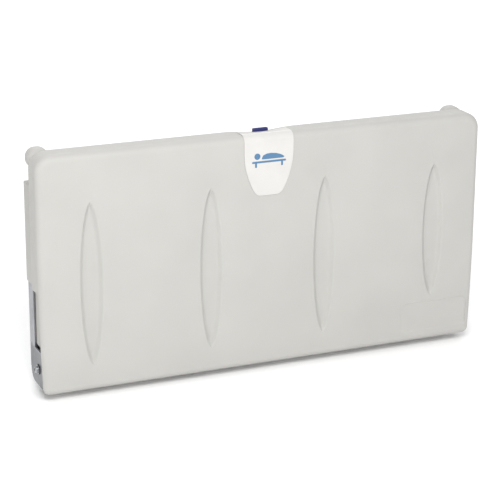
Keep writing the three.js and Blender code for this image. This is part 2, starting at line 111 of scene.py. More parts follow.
def rrect(x0, x1, z0, z1, rt, rb, nc=10, nx=40, nz=20):
    """Rounded rectangle outline, counter-clockwise seen from the front, fixed count."""
    pts = []

    def arc(cx, cz, r, a0, a1):
        for i in range(nc + 1):
            a = a0 + (a1 - a0) * i / nc
            pts.append((cx + r * math.cos(a), cz + r * math.sin(a)))

    def line(a, b, n):
        for i in range(1, n):
            t = i / n
            pts.append((a[0] + (b[0] - a[0]) * t, a[1] + (b[1] - a[1]) * t))

    q = PI / 2
    arc(x1 - rb, z0 + rb, rb, -q, 0)
    line((x1, z0 + rb), (x1, z1 - rt), nz)
    arc(x1 - rt, z1 - rt, rt, 0, q)
    line((x1 - rt, z1), (x0 + rt, z1), nx)
    arc(x0 + rt, z1 - rt, rt, q, 2 * q)
    line((x0, z1 - rt), (x0, z0 + rb), nz)
    arc(x0 + rb, z0 + rb, rb, 2 * q, 3 * q)
    line((x0 + rb, z0), (x1 - rb, z0), nx)
    return pts


class Builder:
    def __init__(self):
        self.v, self.f = [], []

    def ring(self, pts):
        """pts are (x, y, z); returns their indices."""
        i = len(self.v)
        self.v += [tuple(p) for p in pts]
        return list(range(i, i + len(pts)))

    def bridge(self, a, b, closed=True):
        n = len(a)
        for i in range(n if closed else n - 1):
            j = (i + 1) % n
            self.f.append((a[i], a[j], b[j], b[i]))

    def cap(self, a, flip=False):
        self.f.append(tuple(reversed(a)) if flip else tuple(a))

    def fill_flat(self, outer, holes, y):
        """Flat face at depth y between closed loops of (x, z); returns nothing."""
        pts, edges = [], []
        loops = [outer] + holes
        for loop in loops:
            k = len(pts)
            pts += [Vector(p) for p in loop]
            edges += [(k + i, k + (i + 1) % len(loop)) for i in range(len(loop))]
        vs, es, fs, *_ = delaunay_2d_cdt(pts, edges, [], 0, 1e-6)

        def inside(p, loop):
            hit = False
            n = len(loop)
            for i in range(n):
                x0, y0 = loop[i]
                x1, y1 = loop[(i + 1) % n]
                if (y0 > p[1]) != (y1 > p[1]) and p[0] < (x1 - x0) * (p[1] - y0) / (
                    y1 - y0
                ) + x0:
                    hit = not hit
            return hit

        k = len(self.v)
        self.v += [(q.x, y, q.y) for q in vs]
        for f in fs:
            c = (sum(vs[i].x for i in f) / len(f), sum(vs[i].y for i in f) / len(f))
            if inside(c, outer) and not any(inside(c, h) for h in holes):
                self.f.append(tuple(k + i for i in f))

    def make(self, name, angle=35, dist=2e-6):
        ob = new_obj(name, self.v, self.f)
        return tidy(ob, dist, angle)


def solid_stack(name, rings, angle=35):
    """Closed solid from a stack of rings."""
    b = Builder()
    idx = [b.ring(r) for r in rings]
    for a, c in zip(idx, idx[1:]):
        b.bridge(a, c)
    b.cap(idx[0], True)
    b.cap(idx[-1])
    return b.make(name, angle)


def at_y(pts, y):
    return [(x, y, z) for x, z in pts]


def plate_xz(name, outline, y0, y1, bevel=0.0, seg=3, rear=False, angle=35):
    """Closed plate with its outline in X and Z; bevel rounds the front edge, and the rear if asked.
    outline(d) gives the outline inset by d."""
    rings = []
    if bevel:
        for i in range(seg + 1):
            a = PI / 2 * i / seg
            rings.append(at_y(outline(bevel * (1 - math.sin(a))), y0 + bevel * (1 - math.cos(a))))
    else:
        rings.append(at_y(outline(0), y0))
    if rear and bevel:
        for i in range(seg + 1):
            a = PI / 2 * (1 - i / seg)
            rings.append(at_y(outline(bevel * (1 - math.sin(a))), y1 - bevel * (1 - math.cos(a))))
    else:
        rings.append(at_y(outline(0), y1))
    return solid_stack(name, rings, angle)


def rounded_box(name, lo, hi, r, n=6, m=2):
    """Box with every edge rounded by r; n steps round each quarter, m on each flat."""
    c = [(a + b) / 2 for a, b in zip(lo, hi)]
    h = [(b - a) / 2 for a, b in zip(lo, hi)]
    r = min(r, *[x * 0.999 for x in h])
    ticks = []
    for k in range(3):
        inner = h[k] - r
        neg = [-math.cos(PI / 2 * i / n) * r - inner for i in range(n + 1)]
        flat = [-inner + 2 * inner * i / m for i in range(1, m)] if inner > 1e-6 else []
        pos = [inner + math.sin(PI / 2 * i / n) * r for i in range(n + 1)]
        if inner <= 1e-6:
            pos = pos[1:]
        ticks.append(neg + flat + pos)
    bm = bmesh.new()
    for axis in range(3):
        u, v = (axis + 1) % 3, (axis + 2) % 3
        for s in (-1, 1):
            grid = []
            for a in ticks[u]:
                row = []
                for b in ticks[v]:
                    p = [0, 0, 0]
                    p[axis], p[u], p[v] = s * h[axis], a, b
                    core = [max(-(h[k] - r), min(h[k] - r, p[k])) for k in range(3)]
                    # the cube's point, pulled onto the rounded surface
                    d = Vector([p[k] - core[k] for k in range(3)])
                    if d.length > 1e-9:
                        d = d.normalized() * r
                    q = Vector(core) + d
                    row.append(bm.verts.new(P(*[q[k] + c[k] for k in range(3)])))
                grid.append(row)
            for i in range(len(grid) - 1):
                for j in range(len(grid[0]) - 1):
                    f = (grid[i][j], grid[i + 1][j], grid[i + 1][j + 1], grid[i][j + 1])
                    bm.faces.new(f if s > 0 else tuple(reversed(f)))
    bmesh.ops.remove_doubles(bm, verts=bm.verts, dist=2e-6)
    bmesh.ops.recalc_face_normals(bm, faces=bm.faces)
    me = bpy.data.meshes.new(name)
    bm.to_mesh(me)
    bm.free()
    ob = bpy.data.objects.new(name, me)
    bpy.context.scene.collection.objects.link(ob)
    smooth(ob, 40)
    return ob


def turned(name, profile, axis, at, seg=48, angle=35):
    """Closed turned piece. profile is a list of (radius, distance along the axis); axis is x or y."""
    b = Builder()
    rings = []
    for r, a in profile:
        ring = []
        for i in range(seg):
            t = 2 * PI * i / seg
            u, v = r * math.cos(t), r * math.sin(t)
            if axis == "x":
                ring.append((at[0] + a, at[1] + u, at[2] + v))
            else:
                ring.append((at[0] + u, at[1] + a, at[2] + v))
        rings.append(b.ring(ring))
    for p, q in zip(rings, rings[1:]):
        b.bridge(p, q)
    if profile[0] != profile[-1]:
        b.cap(rings[0], True)
        b.cap(rings[-1])
    else:
        pass
    return b.make(name, angle)


def boolean(ob, other, op="DIFFERENCE", keep=False):
    m = ob.modifiers.new("cut", "BOOLEAN")
    m.operation = op
    m.solver = "EXACT"
    m.object = other
    dg = bpy.context.evaluated_depsgraph_get()
    me = bpy.data.meshes.new_from_object(ob.evaluated_get(dg))
    ob.modifiers.clear()
    old = ob.data
    ob.data = me
    bpy.data.meshes.remove(old)
    if not keep:
        data = other.data
        bpy.data.objects.remove(other)
        bpy.data.meshes.remove(data)
    return ob


def cut_box(ob, x0, x1, y0, y1, z0, z1, r=0.0):
    if r:
        c = rounded_box("cutter", (x0, y0, z0), (x1, y1, z1), r, 4, 1)
    else:
        c = rounded_box("cutter", (x0, y0, z0), (x1, y1, z1), 0.02, 1, 1)
        me = c.data
        bm = bmesh.new()
        bmesh.ops.create_cube(bm, size=1.0)
        lo, hi = P(x0, y0, z0), P(x1, y1, z1)
        for v in bm.verts:
            v.co = Vector([lo[k] + (v.co[k] + 0.5) * (hi[k] - lo[k]) for k in range(3)])
        bm.to_mesh(me)
        bm.free()
    return boolean(ob, c)


def join(name, *obs):
    bm = bmesh.new()
    for o in obs:
        bm.from_mesh(o.data)
    me = bpy.data.meshes.new(name)
    bm.to_mesh(me)
    bm.free()
    ob = bpy.data.objects.new(name, me)
    bpy.context.scene.collection.objects.link(ob)
    for o in obs:
        d = o.data
        bpy.data.objects.remove(o)
        bpy.data.meshes.remove(d)
    return ob


def step(t):
    t = max(0.0, min(1.0, t))
    return t * t * (3 - 2 * t)


# ---------------------------------------------------------------- materials
def principled(name, base, rough=0.5, metal=0.0, spec=0.5, coat=0.0, sheen=0.0):
    m = bpy.data.materials.new(name)
    m.use_nodes = True
    nt = m.node_tree
    b = nt.nodes["Principled BSDF"]
    b.inputs["Base Color"].default_value = (*base, 1)
    b.inputs["Roughness"].default_value = rough
    b.inputs["Metallic"].default_value = metal
    b.inputs["Specular IOR Level"].default_value = spec
    b.inputs["Coat Weight"].default_value = coat
    b.inputs["Sheen Weight"].default_value = sheen
    return m, nt, b


def coords(nt, scale=(1, 1, 1)):
    tc = nt.nodes.new("ShaderNodeTexCoord")
    mp = nt.nodes.new("ShaderNodeMapping")
    mp.inputs["Scale"].default_value = scale
    nt.links.new(tc.outputs["Object"], mp.inputs["Vector"])
    return mp.outputs["Vector"]


def noise(nt, vec, scale, detail=3.0, rough=0.5):
    n = nt.nodes.new("ShaderNodeTexNoise")
    n.inputs["Scale"].default_value = scale
    n.inputs["Detail"].default_value = detail
    n.inputs["Roughness"].default_value = rough
    nt.links.new(vec, n.inputs["Vector"])
    return n.outputs["Fac"]


def ramp(nt, fac, stops):
    r = nt.nodes.new("ShaderNodeValToRGB")
    e = r.color_ramp.elements
    e[0].position, e[0].color = stops[0][0], (*stops[0][1], 1)
    e[1].position, e[1].color = stops[-1][0], (*stops[-1][1], 1)
    for p, c in stops[1:-1]:
        x = e.new(p)
        x.color = (*c, 1)
    nt.links.new(fac, r.inputs["Fac"])
    return r.outputs["Color"]


def to_range(nt, fac, lo, hi, a=0.0, b=1.0):
    r = nt.nodes.new("ShaderNodeMapRange")
    r.inputs["From Min"].default_value = a
    r.inputs["From Max"].default_value = b
    r.inputs["To Min"].default_value = lo
    r.inputs["To Max"].default_value = hi
    nt.links.new(fac, r.inputs["Value"])
    return r.outputs["Result"]


def bump(nt, b, height, strength, dist):
    n = nt.nodes.new("ShaderNodeBump")
    n.inputs["Strength"].default_value = strength
    n.inputs["Distance"].default_value = dist
    nt.links.new(height, n.inputs["Height"])
    nt.links.new(n.outputs["Normal"], b.inputs["Normal"])
    return n


def add_math(nt, a, b, op="ADD", v=None):
    n = nt.nodes.new("ShaderNodeMath")
    n.operation = op
    nt.links.new(a, n.inputs[0])
    if v is not None:
        n.inputs[1].default_value = v
    else:
        nt.links.new(b, n.inputs[1])
    return n.outputs[0]


def mat_shell(name, base, grain=1.0):
    """Rotomoulded or injection polyethylene: fine stipple, faint mottling, satin patches."""
    m, nt, b = principled(name, base, 0.52, spec=0.32)
    v = coords(nt)
    big = noise(nt, v, 9.0, 2.0)
    fine = noise(nt, v, 750.0, 2.0, 0.6)
    c = [x for x in base]
    col = ramp(
        nt,
        big,
        [
            (0.30, tuple(x * 0.975 for x in c)),
            (0.70, tuple(min(1, x * 1.02) for x in c)),
        ],
    )
    nt.links.new(col, b.inputs["Base Color"])
    mid = noise(nt, v, 60.0, 3.0)
    nt.links.new(to_range(nt, mid, 0.46, 0.60, 0.3, 0.7), b.inputs["Roughness"])
    h = add_math(nt, add_math(nt, fine, None, "MULTIPLY", 1.0), add_math(nt, mid, None, "MULTIPLY", 0.35))
    bump(nt, b, h, 0.16 * grain, 0.0004)
    return m


def mat_gloss(name, base, rough=0.3):
    m, nt, b = principled(name, base, rough, spec=0.45)
    v = coords(nt)
    big = noise(nt, v, 22.0, 2.0)
    nt.links.new(
        ramp(nt, big, [(0.3, tuple(x * 0.97 for x in base)), (0.7, tuple(min(1, x * 1.02) for x in base))]),
        b.inputs["Base Color"],
    )
    nt.links.new(to_range(nt, noise(nt, v, 90.0), rough - 0.05, rough + 0.08, 0.3, 0.7), b.inputs["Roughness"])
    bump(nt, b, noise(nt, v, 420.0), 0.06, 0.0003)
    return m


def mat_zinc(name, base, rough=0.36, axis=2, foot_shade_z=None, metal=0.9):
    """Zinc-plated sheet steel: fine grain along one direction, cloudy plating, and painted shade darkening the foot
    when a height band is given.
    """
    m, nt, b = principled(name, base, rough, metal, 0.5)
    sc = [900.0, 900.0, 900.0]
    sc[axis] = 25.0
    v = coords(nt, tuple(sc))
    grain = noise(nt, v, 1.0, 2.0)
    v2 = coords(nt)
    cloud = noise(nt, v2, 45.0, 4.0, 0.6)
    col = ramp(
        nt,
        cloud,
        [
            (0.30, tuple(x * 0.80 for x in base)),
            (0.55, base),
            (0.75, tuple(min(1, x * 1.12) for x in base)),
        ],
    )
    if foot_shade_z:
        # painted shade: the colour is darkened towards the foot of the plate, standing in for the shade in the gap
        # beside the bed
        sep = nt.nodes.new("ShaderNodeSeparateXYZ")
        nt.links.new(v2, sep.inputs[0])
        low = to_range(nt, sep.outputs[2], 0.0, 1.0, foot_shade_z[0], foot_shade_z[1])
        mix = nt.nodes.new("ShaderNodeMix")
        mix.data_type, mix.blend_type = "RGBA", "MULTIPLY"
        mix.inputs[0].default_value = 1.0
        foot_shade_tint = ramp(nt, low, [(0.0, (0.58, 0.58, 0.58)), (1.0, (1.0, 1.0, 1.0))])
        nt.links.new(col, mix.inputs[6])
        nt.links.new(foot_shade_tint, mix.inputs[7])
        col = mix.outputs[2]
    nt.links.new(col, b.inputs["Base Color"])
    nt.links.new(to_range(nt, grain, rough - 0.08, rough + 0.12, 0.3, 0.7), b.inputs["Roughness"])
    bump(nt, b, grain, 0.12, 0.0002)
    return m


def mat_web(name, base):
    """Belt webbing: ribs across, threads along."""
    m, nt, b = principled(name, base, 0.82, spec=0.25, sheen=0.35)
    v = coords(nt)
    w1 = nt.nodes.new("ShaderNodeTexWave")
    w1.wave_type, w1.bands_direction = "BANDS", "Z"
    w1.inputs["Scale"].default_value = 320.0
    w1.inputs["Distortion"].default_value = 0.4
    nt.links.new(v, w1.inputs["Vector"])
    w2 = nt.nodes.new("ShaderNodeTexWave")
    w2.wave_type, w2.bands_direction = "BANDS", "X"
    w2.inputs["Scale"].default_value = 210.0
    nt.links.new(v, w2.inputs["Vector"])
    h = add_math(nt, w1.outputs["Fac"], add_math(nt, w2.outputs["Fac"], None, "MULTIPLY", 0.8), "MULTIPLY")
    nt.links.new(
        ramp(nt, h, [(0.0, tuple(x * 0.55 for x in base)), (0.9, tuple(min(1, x * 1.5) for x in base))]),
        b.inputs["Base Color"],
    )
    bump(nt, b, h, 0.5, 0.0004)
    return m


def mat_rubber(name, base):
    m, nt, b = principled(name, base, 0.8, spec=0.3)
    v = coords(nt)
    nt.links.new(to_range(nt, noise(nt, v, 300.0), 0.7, 0.9, 0.3, 0.7), b.inputs["Roughness"])
    nt.links.new(
        ramp(nt, noise(nt, v, 50.0), [(0.3, tuple(x * 0.8 for x in base)), (0.7, tuple(x * 1.3 for x in base))]),
        b.inputs["Base Color"],
    )
    bump(nt, b, noise(nt, v, 600.0), 0.2, 0.0002)
    return m


SHELL = (0.478, 0.472, 0.450)
M_front = mat_shell("moulded_shell", SHELL)
M_house = mat_shell("moulded_housing", tuple(x * 0.975 for x in SHELL))
M_tray = mat_shell("moulded_tray", tuple(x * 1.0 for x in SHELL), 1.5)
M_badge = mat_gloss("badge_white", (0.625, 0.612, 0.592), 0.34)
M_navy = mat_gloss("navy_plastic", (0.018, 0.024, 0.125), 0.42)
M_mark = mat_gloss("slate_blue_print", (0.085, 0.190, 0.330), 0.42)
M_zinc = mat_zinc("zinc_sheet", (0.40, 0.41, 0.43))
M_arm = mat_zinc("zinc_arm", (0.44, 0.43, 0.47), 0.55, 2, metal=0.3)
# painted shade: the side bracket's colour darkens below about 68 to 78 mm up from the bed's bottom edge
M_bracket = mat_zinc("zinc_bracket", (0.37, 0.38, 0.40), 0.40, 2, (BASE_Z + 0.068, BASE_Z + 0.078))
M_zincx = mat_zinc("zinc_sheet_across", (0.40, 0.41, 0.43), axis=0)
M_bolt = mat_zinc("zinc_fastener", (0.36, 0.37, 0.385), 0.28, axis=1)
M_nylon = mat_gloss("nylon_white", (0.80, 0.79, 0.76), 0.45)
M_tube = mat_gloss("black_paint", (0.020, 0.021, 0.024), 0.35)
M_dark = mat_gloss("charcoal_acetal", (0.040, 0.043, 0.052), 0.42)
M_web = mat_web("belt_webbing", (0.050, 0.053, 0.066))
M_rub = mat_rubber("black_rubber", (0.022, 0.022, 0.023))


def paint(ob, mat):
    ob.data.materials.clear()
    ob.data.materials.append(mat)


def place(ob, body, mat, slot, *nodes):
    paint(ob, mat)
    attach(ob, body)
    if nodes:
        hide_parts(*nodes)
    return ob


# ---------------------------------------------------------------- bed shell
R_EDGE = 13.0
R_TOP, R_BOT = 31.0, 13.5
CAVE = 9.5
LENSES = [(-346, 49, 362), (-114, 49, 362), (116, 49, 362), (348, 93, 362)]
LENS_W = 46.5


def bed_outline(d):
    return rrect(
        -W / 2 + d, W / 2 - d, d, H - d, R_TOP - d, R_BOT - d, 12, 110, 46
    )


def scoop(x, y):
    """How far the top edge dips at the finger scoop."""
    if abs(x) >= 72:
        return 0.0
    return 4.4 * 0.5 * (1 + math.cos(PI * x / 72)) * step((y - 13) / 27)


def drawn_in(z):
    """The sides draw in slightly towards the bottom edge."""
    return 1.0 - 0.010 * max(0.0, 1 - z / 220) ** 2


def lens_edge(z, z0, z1):
    t = (z - (z0 + z1) / 2) / ((z1 - z0) / 2)
    return LENS_W / 2 * max(0.0, 1 - t * t) ** 0.54


LENS_CUT = [(0, 0), (0.8, 0.10), (1.6, 0.45), (2.4, 1.02), (3.2, 1.78), (4, 2.58), (5, 3.58), (6, 4.55), (7, 5.42), (8, 6.10), (9, 6.52), (11, 6.92), (14, 7.16), (18, 7.28), (24, 7.30)]


def lens_depth(e, w):
    """Depth of an almond recess at distance e from its edge, where it is w wide to the middle."""
    e = min(e, 24.0)
    for (a, d0), (c, d1) in zip(LENS_CUT, LENS_CUT[1:]):
        if e <= c:
            d = d0 + (d1 - d0) * (e - a) / (c - a)
            break
    return d * (0.25 + 0.75 * step(w / 11.0))


def make_bed_shell():
    b = Builder()
    # rounding from the front face to the sides
    rings = []
    nr = 9
    for i in range(nr + 1):
        a = PI / 2 * i / nr
        rings.append(at_y(bed_outline(R_EDGE * (1 - math.sin(a))), R_EDGE * (1 - math.cos(a))))
    for y in (16, 20, 24, 28, 32, 36, 40, 44):
        rings.append(at_y(bed_outline(0), y))
    rr = 4.5
    for i in range(1, 6):
        a = PI / 2 * i / 5
        rings.append(at_y(bed_outline(rr * (1 - math.cos(a))), T - rr + rr * math.sin(a)))
    shaped = []
    for r in rings:
        shaped.append(
            [(x * drawn_in(z), y, z - (scoop(x, y) if z > H - 12 else 0.0)) for x, y, z in r]
        )
    idx = [b.ring(r) for r in shaped]
    for p, q in zip(idx, idx[1:]):
        b.bridge(p, q)
    b.cap(idx[-1])
    # front face with the almond recesses
    holes = []
    rows = 56
    for cx, z0, z1 in LENSES:
        cols = [0, 0.8, 1.6, 2.4, 3.2, 4.0, 5.0, 6.0, 7.0, 8.0, 9.0, 11.0, 14.0, 18.0]
        grid = []
        for j in range(rows + 1):
            t = j / rows
            z = z0 + (z1 - z0) * (0.5 - 0.5 * math.cos(PI * (0.04 + 0.92 * t)) - (0.5 - 0.5 * math.cos(PI * 0.04))) / (
                math.cos(PI * 0.04)
            )
            w = lens_edge(z, z0, z1)
            if j in (0, rows):
                w = 0.0
                z = z0 if j == 0 else z1
            row = []
            # near the tips the columns squeeze together
            for c in cols:
                dist = c * min(1.0, w * 2 / LENS_W) ** 0.85
                row.append((cx - w + dist, lens_depth(dist, w) if w > 0 else 0.0, z))
            row.append((cx, lens_depth(w, w) if w > 0 else 0.0, z))
            row += [(2 * cx - x, y, z) for x, y, z in reversed(row[:-1])]
            grid.append(b.ring(row))
        for p, q in zip(grid, grid[1:]):
            b.bridge(p, q, closed=False)
        left = [(b.v[g[0]][0], b.v[g[0]][2]) for g in grid]
        right = [(b.v[g[-1]][0], b.v[g[-1]][2]) for g in grid[1:-1]]
        holes.append(right + list(reversed(left)))
    # faint rounded rectangle, lower right, where a label may go
    lab = lambda d, n=6: rrect(284 + d, 432 - d, 22 + d, 82 - d, 16 - d, 12 - d, n, 12, 6)
    steps_ = [(0.0, 0.0), (0.5, 0.10), (1.0, 0.35), (1.6, 0.60), (2.2, 0.70)]
    prev = None
    for d, y in steps_:
        ring = b.ring(at_y(lab(d), y))
        if prev:
            b.bridge(prev, ring)
        prev = ring
    b.cap(prev, True)
    holes.append(lab(0))
    b.fill_flat([(x, z) for x, y, z in shaped[0]], holes, 0.0)
    ob = b.make("bed_front_shell", 40)
    # hollow, recess beside the hinge, pocket round the pivot, latch slot
    cut_box(ob, -POCKET + 4, POCKET - 4, CAVE, 60, 4, 90)
    cut_box(ob, -RECESS + 4, RECESS - 4, CAVE, 60, 82, REC_Z + 10)
    cave = solid_stack(
        "cave",
        [
            at_y(rrect(-W / 2 + 4, W / 2 - 4, REC_Z + 4, H - 4, 27, 3, 8, 8, 4), CAVE),
            at_y(rrect(-W / 2 + 4, W / 2 - 4, REC_Z + 4, H - 4, 27, 3, 8, 8, 4), 60),
        ],
    )
    block = rounded_box("block", (-82, 0, 442), (82, 70, 470), 1.0, 2, 1)
    boolean(cave, block)
    boolean(ob, cave)
    for s in (-1, 1):
        a, c = sorted((s * RECESS, s * 480))
        cut_box(ob, a, c, LIP, 80, -30, REC_Z, 1.2)
        a, c = sorted((s * POCKET, s * 480))
        cut_box(ob, a, c, LIP, 80, -30, 78, 1.2)
    cut_box(ob, -15.9, 15.9, 37.9, 46.3, 436, 470, 1.0)
    tidy(ob, 2e-6, 38)
    return ob


RECESS, POCKET, REC_Z, LIP = 428.2, 416.0, 195.0, 10.0
bed = place(make_bed_shell(), "bed", M_front, "shell_grey", "bed_shell")


# ---------------------------------------------------------------- bed tray
def make_tray():
    b = Builder()
    dish = lambda d: rrect(
        -394 + d, 394 - d, 50 + d, 402 - d, max(6, 60 - d), max(6, 60 - d), 12, 40, 20
    )
    # (inset, depth behind the front face)
    top = [(0, T), (0.8, T - 0.15), (2, T - 0.8), (4, T - 2.3), (7, T - 5.2), (11, T - 9.6), (16, T - 15), (21, T - 20), (26, T - 24.2), (31, T - 27.2), (37, T - 29.0), (44, T - 29.8), (54, T - 30.0)]
    under = [(54, 17.0), (44, 17.0), (36, 17.4), (28, 19.0), (22, 22.4), (16, 28), (11, 33.5), (6, 38.5), (1, 43), (-2, 45.6), (-4, 46.5)]
    rings_t = [b.ring(at_y(dish(d), y)) for d, y in top]
    for p, q in zip(rings_t, rings_t[1:]):
        b.bridge(p, q)
    b.cap(rings_t[-1])
    rings_u = [b.ring(at_y(dish(d), y)) for d, y in under]
    for p, q in zip(rings_u, rings_u[1:]):
        b.bridge(p, q)
    b.cap(rings_u[0])
    # flange outline with the steps of the shell's sides
    e = 4.3

    def flange():
        x1, x2, x3 = W / 2 - e, RECESS - e, POCKET - e
        pts = []
        top_r = 26.7
        for i in range(9):
            a = PI / 2 * i / 8
            pts.append((x1 - top_r + top_r * math.cos(a), H - e - top_r + top_r * math.sin(a)))
        pts += [(90, H - e), (84, H - e - 1.5), (80, 441.7), (-80, 441.7), (-84, H - e - 1.5), (-90, H - e)]
        for i in range(9):
            a = PI / 2 + PI / 2 * i / 8
            pts.append((-x1 + top_r + top_r * math.cos(a), H - e - top_r + top_r * math.sin(a)))
        z1 = REC_Z + e
        pts += [(-x1, z1), (-x2, z1), (-x2, 82.3), (-x3, 82.3), (-x3, e), (x3, e), (x3, 82.3), (x2, 82.3), (x2, z1), (x1, z1)]
        return pts

    fl = flange()
    slot = [(-8, 406.5), (8, 406.5), (8, 431), (-8, 431)]
    b.fill_flat(fl, [dish(0), slot], T)
    b.fill_flat(fl, [dish(-4), slot], 46.5)
    for loop in (fl, slot):
        p, q = b.ring(at_y(loop, T)), b.ring(at_y(loop, 46.5))
        b.bridge(p, q)
    ob = b.make("changing_surface", 32)
    return ob


tray = place(make_tray(), "bed", M_tray, "shell_grey", "bed_tray")


# ---------------------------------------------------------------- badge
def make_badge():
    """White plate over the front and the top edge; follows the rounding and the scoop."""
    half = 49.0
    t0, t1 = 0.25, 1.45
    # path down the middle: parameter s from the bottom of the plate, over the edge, to the latch
    path = []
    z_low = 337.0
    SHIELD = [(337, 14.5), (337.3, 17.6), (338, 20.4), (339.2, 23.0), (341, 25.4), (343.6, 27.8), (347, 30.0), (352, 32.6), (358, 35.3), (366, 38.6), (375, 41.8), (385, 44.7), (395, 46.9), (405, 48.3), (415, 49)]
    n1 = 40
    for i in range(n1 + 1):
        z = z_low + (H - R_EDGE - z_low) * i / n1
        path.append(("front", z))
    for i in range(1, 9):
        path.append(("arc", PI / 2 * i / 8))
    for y in (14, 17, 20, 23, 26, 29, 32, 34.5, 36.4):
        path.append(("top", y))

    def half_width(z):
        """Shield outline: straight sides that draw in towards a flat, round-cornered bottom."""
        for (z0, w0), (z1, w1) in zip(SHIELD, SHIELD[1:]):
            if z <= z1:
                return w0 + (w1 - w0) * max(0.0, z - z0) / (z1 - z0)
        return half

    def point(kind, v, x, t):
        if kind == "front":
            return (x, -t, v)
        if kind == "arc":
            y = R_EDGE - (R_EDGE + t) * math.cos(v)
            z = H - R_EDGE + (R_EDGE + t) * math.sin(v)
            return (x, y, z - scoop(x, y))
        return (x, v, H + t - scoop(x, v))

    b = Builder()
    nx = 24
    us = [-1 + 2 * i / nx for i in range(nx + 1)]
    rows_o, rows_i, rows_m = [], [], []
    # the bottom rows get closer together because the outline turns there
    zs = sorted(set([q[0] for q in SHIELD] + [349.5, 355, 362, 370.5, 380, 390, 400, 410]))
    rows = [("front", z) for z in zs] + [p for p in path if p[0] != "front" or p[1] > z_low + 80]
    for kind, v in rows:
        hw = half_width(v) if kind == "front" else half
        hw = max(hw, 0.4)
        soft = []
        for u in us:
            x = u * hw
            soft.append(point(kind, v, x, t1))
        rows_o.append(b.ring(soft))
        rows_i.append(b.ring([point(kind, v, u * hw, t0) for u in us]))
    for p, q in zip(rows_o, rows_o[1:]):
        b.bridge(p, q, False)
    for p, q in zip(rows_i, rows_i[1:]):
        b.bridge(p, q, False)
    for k in (0, -1):
        b.bridge(rows_o[k], rows_i[k], False)
    for k in (0, -1):
        b.bridge([r[k] for r in rows_o], [r[k] for r in rows_i], False)
    ob = b.make("badge_plate_skin", 50, 1e-5)
    m = ob.modifiers.new("edge", "BEVEL")
    m.width, m.segments, m.limit_method, m.angle_limit = 0.0006, 3, "ANGLE", math.radians(50)
    m.harden_normals = False
    return ob


badge = place(make_badge(), "bed", M_badge, "badge_white", "badge_plate")


def mark_poly(name, pts, y0=-1.62, y1=-1.40):
    b = Builder()
    p, q = b.ring([(x, y0, z) for x, z in pts]), b.ring([(x, y1, z) for x, z in pts])
    b.bridge(p, q)
    b.cap(p, True)
    b.cap(q)
    return b.make(name, 30)


def disc(cx, cz, r, n=36):
    return [(cx + r * math.cos(2 * PI * i / n), cz + r * math.sin(2 * PI * i / n)) for i in range(n)]


def bar(x0, x1, z0, z1, r, n=6):
    return rrect(x0, x1, z0, z1, r, r, n, 3, 3)


# plain changing-table sign: head, body on a table line, two posts
sign = join(
    "changing_sign",
    mark_poly("s1", disc(-23.5, 412.5, 6.0)),
    mark_poly(
        "s2",
        [
            (-14.5, 408.4),
            (-12.0, 413.6),
            (-5.0, 416.6),
            (4.0, 417.2),
            (14.0, 416.0),
            (23.0, 413.2),
            (29.6, 409.6),
            (30.4, 407.4),
            (28.4, 406.2),
            (-12.4, 406.2),
            (-14.4, 406.9),
        ],
    ),
    mark_poly("s3", bar(-34, 34, 399.6, 403.4, 1.8)),
    mark_poly("s4", bar(-28, -24.2, 391.6, 399.7, 0.8)),
    mark_poly("s5", bar(24.2, 28, 391.6, 399.7, 0.8)),
)
smooth(sign, 30)
place(sign, "bed", M_mark, "navy_plastic")


# ---------------------------------------------------------------- latch tab
def make_tab():
    cap = rounded_box("cap", (-15.4, 38.4, 442.4), (15.4, 45.8, 455), 2.4, 5, 2)
    for i in range(4):
        y = 39.9 + 1.5 * i
        c = rounded_box("c", (-11.5, y - 0.35, 454.5), (11.5, y + 0.35, 456), 0.3, 2, 1)
        boolean(cap, c)
    stem = rounded_box("stem", (-12, 38.4, 414), (12, 43.9, 445), 0.8, 3, 1)
    boolean(cap, stem, "UNION")
    shelf = rounded_box("shelf", (-12, 20, 433.8), (12, 40, 437.9), 0.8, 3, 1)
    boolean(cap, shelf, "UNION")
    nose = rounded_box("nose", (-6, 42, 417), (6, 59.4, 421), 0.7, 3, 1)
    boolean(cap, nose, "UNION")
    tooth = rounded_box("tooth", (-6, 56, 417.1), (6, 59.4, 425.7), 0.7, 3, 1)
    boolean(cap, tooth, "UNION")
    cap.name = "latch_tab_navy"
    return tidy(cap, 2e-6, 40)


place(make_tab(), "latch", M_navy, "navy_plastic", "latch_tab")


# ---------------------------------------------------------------- wall housing
LOWER_X = 432.0
HX, HY, HTOP, LEDGE, HOOK_IN = 438.5, T + 2.3, 430.0, 384.5, 399.0


